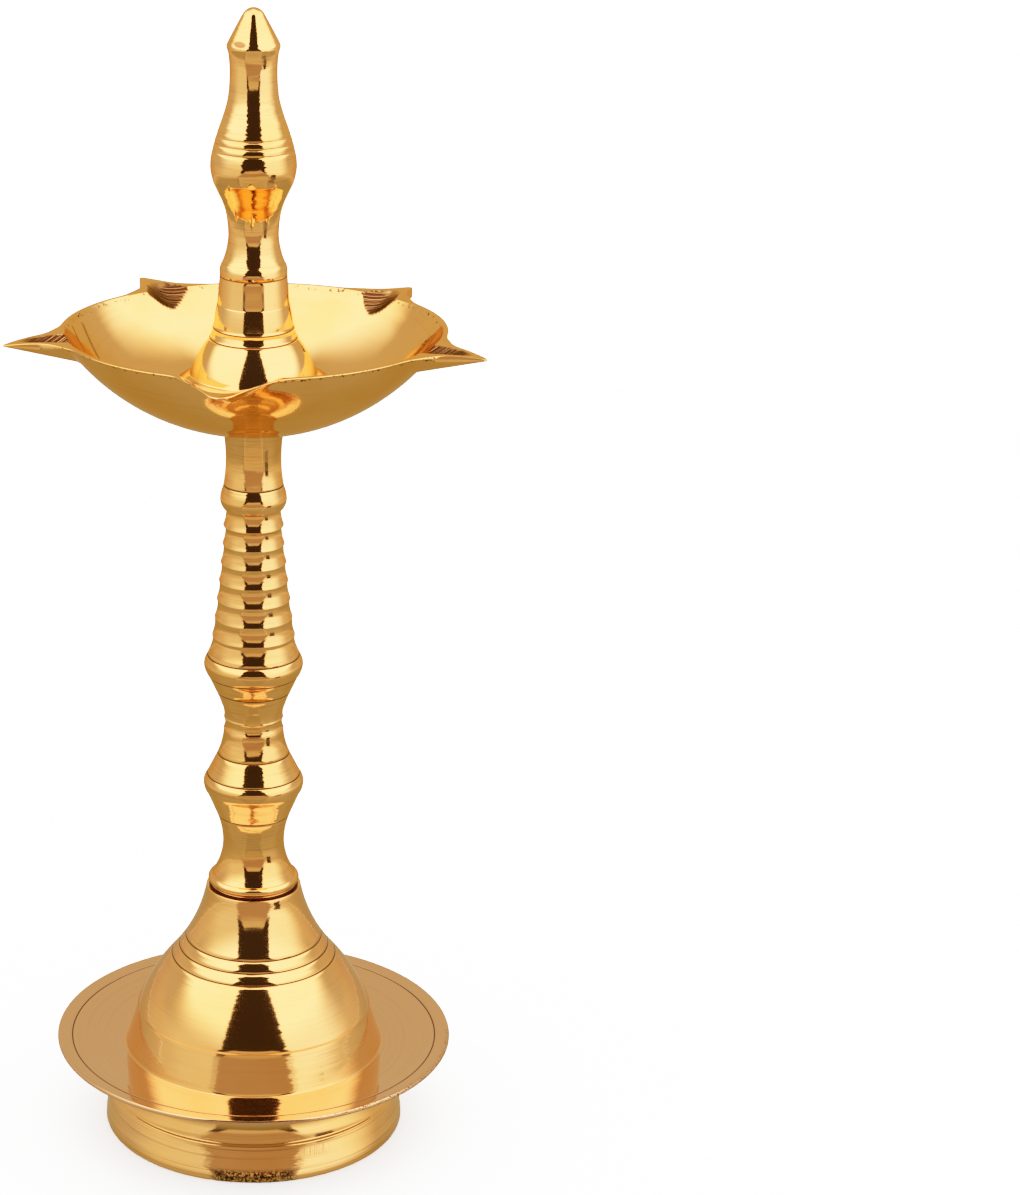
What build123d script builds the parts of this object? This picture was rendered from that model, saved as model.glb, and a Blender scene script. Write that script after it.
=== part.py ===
from build123d import *
import math
import os

# A five-spout standing oil lamp: turned brass castings that screw together on threaded studs.
# Millimetres. The lamp's axis is Z and its foot stands on z = 0.

# Heights of the faces where one casting sits on the next, and of the tip.
BASE_TOP = 69.0
STEM_SEAT = 69.7
STEM_SEAM = 114.0
BOWL_SEAT = 197.5
FINIAL_SEAT = 237.2
LAMP_HEIGHT = 305.0

# Base: foot, drip plate, step and bell in one hollow casting.
FOOT_RADIUS = 40.3
FOOT_INNER_RADIUS = 37.6
FOOT_EDGE = (38.8, 10.2)
COVE_TOP = (38.4, 21.9)
PLATE_RADIUS = 53.2
PLATE_RIM_LOW = 24.0
PLATE_RIM_HIGH = 25.4
STEP_FOOT = (34.6, 22.6)
STEP_TOP = (31.25, 33.0)
BELL_EDGE = (31.5, 33.6)
BELL_SWELL = (22.7, 48.0)
BASE_TOP_RADIUS = 12.5
REGISTER_RADIUS = 11.4
BASE_WALL = 2.2
HOLLOW_TOP = 57.5
BOSS_RADIUS = 14.7
COVE_HOLLOW = 0.8
BELL_ROUND = 0.7
BELL_HOLLOW = 1.55

# Lower stem: (radius, height) of its ledge above the recess, neck, flare and bead.
LEDGE_LOW = (12.05, 70.5)
LEDGE_HIGH = (12.05, 71.5)
LEDGE_SHOULDER = (10.6, 72.8)
LOWER_NECK = (8.15, 82.0)
LOWER_FLARE = (9.8, 90.0)
LOWER_BEAD_FOOT = (12.3, 96.0)
LOWER_BEAD = (13.25, 98.7)
LOWER_BEAD_TOP = (12.5, 100.8)
LOWER_TAPER = (10.4, 105.0)
SEAM_RADIUS = 7.85

# Upper stem: the narrow ring at its foot, flare and bead, then the small bead and plain neck
# above the stepped rings.
FOOT_RING = [(7.95, 114.0), (7.5, 115.9), (7.85, 117.2), (7.72, 117.7)]
UPPER_FLARE = (10.0, 125.0)
UPPER_BEAD = (13.1, 132.2)
UPPER_BEAD_TOP = (11.2, 136.6)
TOP_BEAD = (8.7, 177.6)
TOP_BEAD_TOP = (7.9, 181.0)
TOP_NECK = (7.15, 188.0)
STEM_TOP_RADIUS = 8.2

# How far each bead stands out, half its height, and how far the curves of the profiles swell.
BEAD_ROUND = 0.35
BEAD_HALF_HEIGHT = 1.6
CROWN = 0.1
GENTLE = 0.15
FLARE_HOLLOW = 0.5
NECK_HOLLOW = 0.85

# Stepped rings up the upper stem: crest radii from the lowest ring to the highest.
RING_CRESTS = [10.9, 10.2, 9.65, 9.1, 8.6, 8.1, 7.9]
RING_BASE = 140.2
RING_PITCH = 5.05
RING_LIP = 0.7
RING_TAPER = 0.5
RING_STEP = 0.3
RING_HOLLOW = 0.2

# Oil bowl.
RIM_RADIUS = 49.4
RIM_HEIGHT = 223.0
RIM_WALL = 1.3
BOWL_FOOT_RADIUS = 8.4
BOWL_BULGE = 5.5
FLOOR = (25.0, 203.6)
CONE_FOOT = (11.3, 220.2)
CONE_STEP = (9.2, 229.8)
CONE_TOP_RADIUS = 8.6
FLOOR_BULGE = 2.1
FLARE_BULGE = 2.2

# Spouts: distances out from the axis, half widths, and depths below the rim.
SPOUTS = 5
FIRST_SPOUT_DEG = -97.5
SPOUT_TIP = 64.0
BEAK_ROOT = 30.0
BEAK_ROOT_HALF = 16.0
BEAK_CORNER = (47.2, 14.0)
BEAK_WAIST = (53.0, 5.6)
BEAK_NOSE = (63.3, 1.0)
KEEL_NEAR = (30.0, 10.4)
KEEL_FAR = (66.0, 0.9)
KEEL_SPREAD = 1.9
TROUGH_NEAR = (30.0, 5.3)
TROUGH_FAR = (62.6, 0.3)
TROUGH_SPREAD = 2.1

# Finial.
FINIAL_RING = (8.6, 238.6)
FINIAL_RING_TOP = (7.9, 240.6)
FINIAL_NECK = (6.4, 247.4)
FINIAL_SHOULDER = (8.7, 258.0)
BULB_FOOT = (10.1, 261.0)
BULB_TOP = (10.5, 268.6)
BULB_ROUND = 0.6
FINIAL_TAPER = (9.0, 274.0)
FINIAL_STALK = (6.5, 282.0)
FINIAL_WAIST = (6.0, 288.0)
FINIAL_CAP = (6.75, 295.5)
FINIAL_TIP_RADIUS = 1.4

# Threaded studs: one size for all four joints.
THREAD_RADIUS = 4.0
THREAD_PITCH = 1.25
THREAD_DEPTH = 0.6
THREAD_START = 0.9
THREAD_LAND = 0.08
STUD_REACH = 9.2
BORE_DEPTH = 10.0
BORE_CLEARANCE = 0.06
CHAMFER = 0.5

# Engraved turning lines.
GROOVE_RADIUS = 0.22
PLATE_LINE_RADIUS = 49.2
BASE_GROOVES = [48.8, 51.4, 54.1]
LOWER_STEM_GROOVES = [89.6, 101.2, 107.0]
UPPER_STEM_GROOVES = [124.6, 129.4, 134.8]
CONE_GROOVES = [220.9, 223.6]
FINIAL_GROOVES = [269.5, 271.3, 273.1]


def outline(*steps):
    """Edges of a closed outline in the XZ plane.

    Each step is (radius, height) for a straight run to that point, or (radius, height, bulge)
    for an arc, whose height is bulge, positive to the right of the way travelled. On the way
    up, that is outwards.
    """
    edges = []
    here = steps[0][:2]
    for r, z, *bulge in steps[1:] + (steps[0][:2],):
        ends = [(here[0], 0, here[1]), (r, 0, z)]
        if bulge:
            run, rise = r - here[0], z - here[1]
            length = math.hypot(run, rise)
            middle = ((here[0] + r) / 2 + bulge[0] * rise / length, 0,
                      (here[1] + z) / 2 - bulge[0] * run / length)
            edges.append(Edge.make_three_point_arc(ends[0], middle, ends[1]))
        else:
            edges.append(Edge.make_line(*ends))
        here = (r, z)
    return edges


def turned(edges):
    """Solid of revolution of a closed outline about the lamp's axis."""
    return revolve(Face(Wire(edges)), Axis.Z)


def radius_at(edges, height):
    """Radius of the outermost outline edge that crosses a height."""
    found = []
    for edge in edges:
        low, high = 0.0, 1.0
        start, end = edge.position_at(low).Z, edge.position_at(high).Z
        if min(start, end) <= height <= max(start, end) and abs(end - start) > CHAMFER / 10:
            while high - low > 1e-6:
                middle = (low + high) / 2
                if (edge.position_at(middle).Z < height) == (start < end):
                    low = middle
                else:
                    high = middle
            found.append(edge.position_at(low).X)
    return max(found)


def engraved(solid, edges, heights):
    """The solid with a round-bottomed line turned into it at each height."""
    for height in heights:
        solid -= Pos(0, 0, height) * Torus(radius_at(edges, height), GROOVE_RADIUS)
    return solid


def bore(seat, direction):
    """Plain bore for a stud, from a seat face upwards (+1) or downwards (-1)."""
    radius = THREAD_RADIUS + BORE_CLEARANCE
    return Pos(0, 0, seat + direction * BORE_DEPTH / 2) * Cylinder(radius, BORE_DEPTH)


def make_base():
    """Hollow casting, open beneath, with a bored boss at its top."""
    outside = outline(
        (FOOT_INNER_RADIUS, 0),
        (FOOT_RADIUS - CHAMFER, 0),
        (FOOT_RADIUS, 2 * CHAMFER, CROWN),
        (*FOOT_EDGE, 2 * CROWN),
        (FOOT_EDGE[0] - CHAMFER, FOOT_EDGE[1] + CHAMFER),
        (*COVE_TOP, -COVE_HOLLOW),
        (PLATE_RADIUS - CHAMFER, PLATE_RIM_LOW),
        (PLATE_RADIUS, PLATE_RIM_LOW + CHAMFER, CROWN),
        (PLATE_RADIUS - CHAMFER / 2, PLATE_RIM_HIGH, CROWN),
        STEP_FOOT,
        STEP_TOP,
        (*BELL_EDGE, CROWN),
        (*BELL_SWELL, BELL_ROUND),
        (BASE_TOP_RADIUS, BASE_TOP, -BELL_HOLLOW),
        (REGISTER_RADIUS, BASE_TOP),
        (REGISTER_RADIUS, STEM_SEAT),
        (THREAD_RADIUS + BORE_CLEARANCE, STEM_SEAT),
        (THREAD_RADIUS + BORE_CLEARANCE, HOLLOW_TOP),
        (BOSS_RADIUS, HOLLOW_TOP),
        (BELL_SWELL[0] - BASE_WALL, BELL_SWELL[1] - BASE_WALL / 2, FLARE_HOLLOW),
        (BELL_EDGE[0] - BASE_WALL, BELL_EDGE[1] - CHAMFER, -BELL_ROUND),
        (STEP_FOOT[0] - BASE_WALL, STEP_FOOT[1]),
        (COVE_TOP[0] - 2 * BASE_WALL, COVE_TOP[1] - BASE_WALL),
        (FOOT_EDGE[0] - BASE_WALL - 2 * CHAMFER, FOOT_EDGE[1], COVE_HOLLOW),
        (FOOT_EDGE[0] - BASE_WALL, FOOT_EDGE[1] - CHAMFER),
    )
    base = engraved(turned(outside), outside, BASE_GROOVES)
    slope = (PLATE_RIM_HIGH - STEP_FOOT[1]) / (PLATE_RADIUS - STEP_FOOT[0])
    line_height = STEP_FOOT[1] + slope * (PLATE_LINE_RADIUS - STEP_FOOT[0])
    return base - Pos(0, 0, line_height) * Torus(PLATE_LINE_RADIUS, GROOVE_RADIUS)


def bead(crest):
    """Outline steps of a rounded bead, for the radius and height of its crest."""
    foot_radius = crest[0] - BEAD_ROUND
    low, high = crest[1] - BEAD_HALF_HEIGHT, crest[1] + BEAD_HALF_HEIGHT
    return [(foot_radius, low), (foot_radius, high, BEAD_ROUND)]


def make_lower_stem():
    """Bell-footed neck, swelling to one bead."""
    outside = outline(
        (0, STEM_SEAT),
        (REGISTER_RADIUS - CHAMFER, STEM_SEAT),
        (REGISTER_RADIUS - CHAMFER, LEDGE_LOW[1]),
        LEDGE_LOW,
        (*LEDGE_HIGH, CROWN),
        (*LEDGE_SHOULDER, 2 * CROWN),
        (*LOWER_NECK, -NECK_HOLLOW),
        (*LOWER_FLARE, -FLARE_HOLLOW),
        LOWER_BEAD_FOOT,
        *bead(LOWER_BEAD),
        LOWER_BEAD_TOP,
        LOWER_TAPER,
        (SEAM_RADIUS, STEM_SEAM, -FLARE_HOLLOW),
        (0, STEM_SEAM),
    )
    stem = engraved(turned(outside), outside, LOWER_STEM_GROOVES)
    return stem - bore(STEM_SEAT, 1) - bore(STEM_SEAM, -1)


def ring_steps():
    """Outline of the stepped rings: above each sharp crest a hollow flank draws in, and a
    short step leads out again to the next crest."""
    steps = []
    for index, crest in enumerate(RING_CRESTS):
        height = RING_BASE + index * RING_PITCH
        steps.append((crest, height))
        waist = crest - RING_TAPER - RING_STEP
        steps.append((waist, height + RING_PITCH - RING_LIP, -RING_HOLLOW))
    return steps


def make_upper_stem():
    """Flared bead, stepped rings, a small bead and a plain neck."""
    outside = outline(
        (0, STEM_SEAM),
        *FOOT_RING,
        (*UPPER_FLARE, -FLARE_HOLLOW),
        *bead(UPPER_BEAD),
        UPPER_BEAD_TOP,
        (RING_CRESTS[0] - RING_STEP, RING_BASE - RING_LIP),
        *ring_steps(),
        *bead(TOP_BEAD),
        TOP_BEAD_TOP,
        (*TOP_NECK, -GENTLE),
        (STEM_TOP_RADIUS, BOWL_SEAT, -2 * GENTLE),
        (0, BOWL_SEAT),
    )
    stem = engraved(turned(outside), outside, UPPER_STEM_GROOVES)
    return stem - bore(STEM_SEAM, 1) - bore(BOWL_SEAT, -1)


def wedge(near, far, spread):
    """V-shaped wedge along +X, from near to far: its keel is at each (distance, depth)
    below the rim, and its half width at the rim there is the depth times spread."""
    sections = []
    for distance, depth in (near, far):
        corners = [
            (distance, -depth * spread, RIM_HEIGHT),
            (distance, depth * spread, RIM_HEIGHT),
            (distance, 0, RIM_HEIGHT - depth),
        ]
        sections.append(Face(Wire.make_polygon(corners, close=True)))
    return loft(sections, ruled=True)


def make_beak():
    """Solid spout along +X: a pointed plan, cut to a V beneath."""
    half = [(BEAK_ROOT, BEAK_ROOT_HALF), BEAK_CORNER, BEAK_WAIST, BEAK_NOSE]
    corners = half + [(SPOUT_TIP, 0)] + [(x, -y) for x, y in reversed(half)]
    depth = KEEL_NEAR[1]
    floor = RIM_HEIGHT - depth
    plan = Face(Wire.make_polygon([(x, y, floor) for x, y in corners], close=True))
    return extrude(plan, depth, dir=(0, 0, 1)) & wedge(KEEL_NEAR, KEEL_FAR, KEEL_SPREAD)


def around(solid):
    """Copies of a solid, one for each spout."""
    step = 360 / SPOUTS
    return [Rot(0, 0, FIRST_SPOUT_DEG + step * index) * solid for index in range(SPOUTS)]


def make_oil_bowl():
    """Dished bowl with V-shaped spouts and a hollow-sided cone at its centre."""
    inner_rim = RIM_RADIUS - RIM_WALL
    outside = outline(
        (0, BOWL_SEAT),
        (BOWL_FOOT_RADIUS, BOWL_SEAT),
        (RIM_RADIUS, RIM_HEIGHT, BOWL_BULGE),
        (inner_rim, RIM_HEIGHT),
        (*FLOOR, -FLOOR_BULGE),
        (*CONE_FOOT, -FLARE_BULGE),
        CONE_STEP,
        (CONE_TOP_RADIUS, FINIAL_SEAT),
        (0, FINIAL_SEAT),
    )
    bowl = engraved(turned(outside), outside[5:8], CONE_GROOVES)
    # Each beak stops inside the bowl's wall, so that it joins it and stays out of the oil.
    within_wall = turned(outline(
        (0, FLOOR[1] - RIM_WALL / 2),
        (FLOOR[0], FLOOR[1] - RIM_WALL / 2),
        (inner_rim + RIM_WALL / 2, RIM_HEIGHT, FLOOR_BULGE),
        (0, RIM_HEIGHT),
    ))
    for beak in around(make_beak() - within_wall):
        bowl += beak
    for trough in around(wedge(TROUGH_NEAR, TROUGH_FAR, TROUGH_SPREAD)):
        bowl -= trough
    return bowl - bore(BOWL_SEAT, 1) - bore(FINIAL_SEAT, -1)


def make_finial():
    """Necked and bulbed finial with a pointed cap."""
    cap_edge = FINIAL_CAP[1]
    outside = outline(
        (0, FINIAL_SEAT),
        (FINIAL_RING[0], FINIAL_SEAT),
        FINIAL_RING,
        (*FINIAL_RING_TOP, GENTLE),
        (*FINIAL_NECK, -2 * GENTLE),
        (*FINIAL_SHOULDER, -FLARE_HOLLOW),
        BULB_FOOT,
        (*BULB_TOP, BULB_ROUND),
        FINIAL_TAPER,
        (*FINIAL_STALK, -GENTLE),
        (*FINIAL_WAIST, -CROWN),
        (FINIAL_CAP[0] - CHAMFER, cap_edge - 2 * CHAMFER, -CROWN),
        (FINIAL_CAP[0], cap_edge),
        (FINIAL_CAP[0] - CROWN, cap_edge + CHAMFER),
        (FINIAL_TIP_RADIUS, LAMP_HEIGHT - CHAMFER),
        (FINIAL_TIP_RADIUS / 3, LAMP_HEIGHT, CROWN),
        (0, LAMP_HEIGHT),
    )
    return engraved(turned(outside), outside, FINIAL_GROOVES) - bore(FINIAL_SEAT, 1)


def make_stud(seat):
    """Headless threaded stud, centred on the seam that it crosses."""
    root = THREAD_RADIUS - THREAD_DEPTH
    core = Pos(0, 0, seat) * Cylinder(root, 2 * STUD_REACH)
    core = chamfer(core.edges().filter_by(GeomType.CIRCLE), CHAMFER)
    length = 2 * (STUD_REACH - THREAD_START)
    path = Helix(THREAD_PITCH, length, root, center=(0, 0, seat - length / 2))
    half = THREAD_PITCH / 2 - THREAD_LAND
    flank = [
        (root - THREAD_LAND, 0, -half),
        (THREAD_RADIUS, 0, -THREAD_LAND),
        (THREAD_RADIUS, 0, THREAD_LAND),
        (root - THREAD_LAND, 0, half),
    ]
    ridge = Pos(0, 0, seat - length / 2) * Face(Wire.make_polygon(flank, close=True))
    return core + sweep(ridge, path=path, is_frenet=True)


def main():
    pieces = {
        "base": make_base(),
        "lower_stem": make_lower_stem(),
        "upper_stem": make_upper_stem(),
        "oil_bowl": make_oil_bowl(),
        "finial": make_finial(),
        "base_stud": make_stud(STEM_SEAT),
        "stem_stud": make_stud(STEM_SEAM),
        "bowl_stud": make_stud(BOWL_SEAT),
        "finial_stud": make_stud(FINIAL_SEAT),
    }
    os.makedirs("parts", exist_ok=True)
    for name, piece in pieces.items():
        export_step(piece, f"parts/{name}.step")


main()
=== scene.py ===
"""Looks of a five-spout standing oil lamp in turned and polished brass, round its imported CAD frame.

Outlines are in millimetres: (radius, height above the piece's own seat), but for the oil bowl,
whose heights are above the floor. Blender's scene, the marks in the materials and the studio are in
metres. The lamp's axis is Z, its foot stands on z = 0 and -Y is the front.
"""

import collections
import functools
import math

import bmesh
import bpy
import numpy as np
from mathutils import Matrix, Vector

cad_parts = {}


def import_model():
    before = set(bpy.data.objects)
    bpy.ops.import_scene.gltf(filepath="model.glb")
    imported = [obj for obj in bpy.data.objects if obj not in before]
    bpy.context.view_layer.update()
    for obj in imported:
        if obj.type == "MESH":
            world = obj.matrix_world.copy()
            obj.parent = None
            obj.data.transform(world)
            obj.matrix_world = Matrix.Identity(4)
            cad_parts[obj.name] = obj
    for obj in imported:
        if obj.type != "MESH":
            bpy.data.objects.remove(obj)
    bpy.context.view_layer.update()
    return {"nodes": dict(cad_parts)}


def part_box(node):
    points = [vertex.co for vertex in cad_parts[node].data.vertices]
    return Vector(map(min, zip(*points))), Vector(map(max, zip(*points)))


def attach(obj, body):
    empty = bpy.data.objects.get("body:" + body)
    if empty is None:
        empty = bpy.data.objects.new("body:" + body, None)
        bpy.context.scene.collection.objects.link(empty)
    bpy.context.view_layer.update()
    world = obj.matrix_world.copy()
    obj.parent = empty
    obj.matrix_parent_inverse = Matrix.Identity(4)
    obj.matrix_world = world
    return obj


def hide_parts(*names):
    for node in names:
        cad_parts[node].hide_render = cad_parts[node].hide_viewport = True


MM = 0.001
STUDS = ("base_stud", "stem_stud", "bowl_stud", "finial_stud")

# Turned surfaces.
SEGMENTS = 224
RUN_STEP = 1.1
ARC_STEP_DEG = 4.0
CORNER_RADIUS = 0.22
CORNER_SHARE = 0.45
CORNER_TURN_DEG = 14.0
CORNER_POINTS = 4
LINE_HALF_WIDTH = 0.19
WIDE_LINE_HALF_WIDTH = 0.36
LINE_DEPTH = 0.12
LINE_SHAPE = [(-1.0, 0.0), (-0.8, 0.25), (-0.45, 0.8), (0.0, 1.0), (0.45, 0.8), (0.8, 0.25), (1.0, 0.0)]
LINE_REACH = 1.3
LINE_DARK_SHARE = 0.95
SHARP_DEG = 50.0
BORE_RADIUS = 4.06
BORE_DEPTH = 10.0

# Outlines. Each step is (radius, height), or (radius, height, bulge) for an arc.
FOOT = [(38.2, 0.0), (39.7, 0.0), (40.3, 0.9, 0.12), (39.8, 5.0, 0.1), (38.9, 10.1, 0.05)]
COVE = [(38.3, 10.6), (38.4, 21.9, -0.8)]
PLATE = [(52.6, 24.0), (53.2, 24.6, 0.1), (52.95, 25.4, 0.1), (34.6, 22.6)]
STEP = [(31.25, 32.9), (31.15, 33.15)]
BELL = [(31.5, 33.6), (22.7, 48.0, 0.7)]
BELL_TOP_RADIUS = 12.6
BELL_TOP_BULGE = -1.55
RECESS_FLOOR_RADIUS = 11.4
RECESS_HEIGHT = 0.7
HOLLOW_TOP = 57.5
BELL_HOLLOW = [(14.7, HOLLOW_TOP), (20.5, 46.9, 0.5), (29.3, 33.1, -0.7), (32.4, 22.6, 0.25)]
FOOT_HOLLOW = [(34.0, 19.7), (35.3, 10.2, 2.0), (36.6, 9.7), (37.6, 0.3), (38.2, 0.0)]
BELL_LINES = [48.8, 51.4, 54.1]
PLATE_LINE = (49.2, 24.83)

LOWER_STEM_RING = [(10.9, 0.0), (10.9, 0.8), (12.05, 0.8), (12.05, 1.7, 0.08), (11.1, 2.5, 0.1)]
LOWER_STEM_WAIST = [(8.15, 12.3, -0.75), (9.8, 20.3, -0.35)]
LOWER_STEM_BEAD = [(12.3, 26.3), (13.25, 29.0, 0.25), (12.5, 31.1, 0.22), (10.4, 35.3)]
LOWER_STEM_TOP_RADIUS = 7.85
LOWER_STEM_TOP_BULGE = -0.5
LOWER_STEM_LINES = [20.0, 31.5, 37.3]

UPPER_STEM_FOOT = [(7.95, 0.0), (7.5, 1.9, -0.1), (7.85, 3.2, -0.08), (7.72, 3.7), (8.4, 7.0, -0.2)]
UPPER_STEM_BEAD = [(10.0, 11.0, -0.1), (11.8, 15.0), (13.03, 18.0, 0.2), (12.5, 20.0, 0.15)]
UPPER_STEM_SHOULDER = [(10.9, 24.0, -0.12), (10.6, 25.5)]
UPPER_STEM_SMALL_BEAD = [(7.75, 61.2, -0.05), (8.67, 63.7, 0.22), (7.9, 67.0, 0.15)]
UPPER_STEM_NECK = [(7.2, 73.5, -0.12), (7.5, 80.0, -0.1)]
UPPER_STEM_TOP_RADIUS = 8.15
UPPER_STEM_TOP_BULGE = -0.06
UPPER_STEM_LINES = [10.8, 15.4, 20.8, 67.6]
RING_CRESTS = [10.9, 10.2, 9.65, 9.1, 8.6, 8.1, 7.9]
RING_PITCH = 5.05
FIRST_RING = 26.2
RING_HOLLOW = 0.8
RING_FLANK_GAP = 0.7
RING_FLANK_BULGE = -0.22

FINIAL_FOOT = [(8.6, 0.0), (8.6, 1.6), (7.9, 3.4, 0.1), (6.4, 10.2, -0.3), (6.85, 15.5, -0.1)]
FINIAL_BULB = [(8.7, 20.8, -0.2), (10.1, 23.8), (10.91, 27.8, 0.12), (10.5, 31.4, 0.1)]
FINIAL_TAPER = [(9.0, 36.8, 0.08), (7.6, 40.8), (6.5, 44.8, -0.05), (6.0, 50.8, -0.12)]
FINIAL_CAP = [(6.3, 56.4, -0.12), (6.75, 58.0), (6.7, 58.6), (2.9, 65.8, 0.05), (1.3, 67.5, 0.2)]
FINIAL_TIP_BULGE = 0.08
FINIAL_LINES = [32.3, 34.1, 35.85]

CONE_TOP_RADIUS = 8.6
CONE_NECK = [(8.9, 233.0, 0.02), (9.15, 229.9), (9.25, 229.7), (10.3, 223.5, -0.05)]
CONE_SKIRT = [(11.25, 220.5), (16.2, 211.3, -0.5), (25.0, 203.6, -0.85)]
CONE_LINES = [220.9, 223.6]

# Oil bowl. DISH_OUTER and DISH_INNER are the centre height and radius of its two round surfaces.
RIM_HEIGHT = 223.0
RIM_RADIUS = 49.4
RIM_WALL = 1.3
INNER_RIM = RIM_RADIUS - RIM_WALL
RIM_EDGE = 0.4
RIM_SOFT = 0.2
DISH_CENTRE_RADIUS = 2.4
DISH_OUTER = (252.9, 55.7)
DISH_INNER = (253.96, 55.2)
RIM_TILT = (0.0035, -0.0272)
TILT_START = 14
TILT_RUN = 31

# Spouts, anticlockwise from the front one. Lengths are along or across the spout's middle.
SPOUTS = 5
SPOUT_PITCH_DEG = 72
FIRST_SPOUT_DEG = -97.5
SPOUT_TIPS = np.array([63.3, 63.8, 60.8, 63.2, 63.9])
SPOUT_TIP_HALVES = np.array([2.0, 0.55, 0.55, 0.55, 0.55])
SPOUT_SIDE_SLOPES = np.array([0.72, 0.44, 0.44, 0.44, 0.44])
SPOUT_TIP_DEPTHS = np.array([1.5, 1.5, 2.9, 3.3, 1.5])
SPOUT_TOP_DROPS = np.array([0.9, 1.0, 0.2, 0.1, 1.1])
TROUGH_ENDS = np.array([61.8, 60.5, 54.8, 56.2, 60.5])
TROUGH_DEPTHS = np.array([4.2, 3.0, 4.5, 4.5, 3.0])
TROUGH_ROUNDS = np.array([7.0, 2.2, 3.2, 3.2, 2.2])
TROUGH_SPREADS = np.array([1.9, 1.1, 1.0, 1.0, 1.1])
FILED_SHARES = np.array([0.1, 1.0, 1.0, 1.0, 1.0])
TROUGH_START = 44.0
TROUGH_POWER = 1.3
TROUGH_SHARES = (-1, 4)
TROUGH_REACH = 40
SIDE_SPOUTS = [(1, 1), (4, -1)]
RIGHT_BACK_SPOUT = 2
FLARE_START = 52.8
FLARE_HALF = 5.4
FLARE_SLOPE = 1.45
DROOP_START = 53
KEEL_SLOPE = 0.264
KEEL_ROUND = 0.6
KEEL_SPREAD = 1.9

# How far apart two of the bowl's surfaces are when they start to blend.
TIP_BLEND = 0.05
FLARE_BLEND = 1.6
RIM_BLEND = 0.8
KEEL_BLEND = 1.2
EDGE_BLEND = 0.3
TROUGH_BLEND = 0.15

# The bowl's mesh: directions from a spout's middle, and rows as radii or shares of a way outwards.
SPOUT_OFFSETS_DEG = [
    *np.arange(0, 1.5, 0.15), *np.arange(1.5, 6, 0.36), *np.arange(6, 18, 0.75), *np.arange(18, 36, 2.1)
]
PLAN_SEARCH = (45.0, 68.0)
PLAN_HALVINGS = 40
INSIDE_RADII = [*np.arange(26.2, 40, 1.2), *np.arange(40, 47.6, 0.42), 47.7, INNER_RIM - 0.12]
LAND_SHARES = [0.02, 0.06, 0.12, 0.2, 0.3, 0.4, 0.5, 0.6, 0.7, 0.79, 0.87, 0.93, 0.97]
EDGE_TURNS_ABOVE = [0, 30, 60, 90]
EDGE_TURNS_BELOW = [0, 45, 80]
KEEL_SHARES = [0.97, 0.93, 0.88, 0.82, 0.75, 0.67, 0.59, 0.51, 0.43, 0.35, 0.27, 0.19, 0.12, 0.06]
KEEL_START = 46.0
UNDERSIDE_RADII = [*np.arange(46, 38, -0.5), *np.arange(38, 9, -1.2), 8.4]


def frame_seats():
    """Each CAD node's lowest and highest point, in millimetres."""
    return {n: tuple(corner.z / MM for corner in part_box(n)) for n in frame["nodes"]}


def outline(*steps):
    """Points along an outline. A step is (radius, height), or (radius, height, bulge) for an arc
    that swells by bulge to the right of the way travelled."""
    points = [steps[0][:2]]
    for r, z, *bulge in steps[1:]:
        r0, z0 = points[-1]
        run, rise = r - r0, z - z0
        length = math.hypot(run, rise)
        if not bulge:
            count = max(1, math.ceil(length / RUN_STEP))
            points += [(r0 + run * i / count, z0 + rise * i / count) for i in range(1, count + 1)]
            continue
        half = 2 * math.atan(2 * bulge[0] / length)
        count = max(2, math.ceil(abs(math.degrees(2 * half)) / ARC_STEP_DEG), math.ceil(length / RUN_STEP))
        for i in range(1, count + 1):
            here = half * (1 - 2 * i / count)
            along = 0.5 - math.sin(here) / (2 * math.sin(half))
            out = (math.cos(here) - math.cos(half)) / (2 * math.sin(half))
            points.append((r0 + run * along + rise * out, z0 + rise * along - run * out))
    return points


def softened(points):
    """The outline with each sharp corner rounded, as polishing leaves it."""
    made = [points[0]]
    for before, here, after in zip(points, points[1:], points[2:]):
        into, away = np.subtract(here, before), np.subtract(after, here)
        lengths = np.linalg.norm(into), np.linalg.norm(away)
        cosine = np.clip(into @ away / (lengths[0] * lengths[1]), -1, 1)
        if math.degrees(math.acos(cosine)) < CORNER_TURN_DEG:
            made.append(here)
            continue
        cut = min(CORNER_RADIUS, CORNER_SHARE * lengths[0], CORNER_SHARE * lengths[1])
        start, end = here - into / lengths[0] * cut, here + away / lengths[1] * cut
        for i in range(CORNER_POINTS + 1):
            t = i / CORNER_POINTS
            made.append(tuple((1 - t) ** 2 * start + 2 * t * (1 - t) * np.array(here) + t * t * end))
    return made + [points[-1]]


def engraved(points, heights, half_width=LINE_HALF_WIDTH):
    """The outline with a fine line cut in where its outermost side crosses each height, and the
    places of the lines."""
    centres = []
    for height in heights:
        crossings = [
            i for i in range(len(points) - 1)
            if min(points[i][1], points[i + 1][1]) <= height < max(points[i][1], points[i + 1][1])
        ]
        i = max(crossings, key=lambda c: points[c][0])
        low, high = np.array(points[i]), np.array(points[i + 1])
        centre = low + (high - low) * (height - low[1]) / (high[1] - low[1])
        points = cut_line(points, i, centre, half_width)
        centres.append(centre)
    return points, centres


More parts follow.
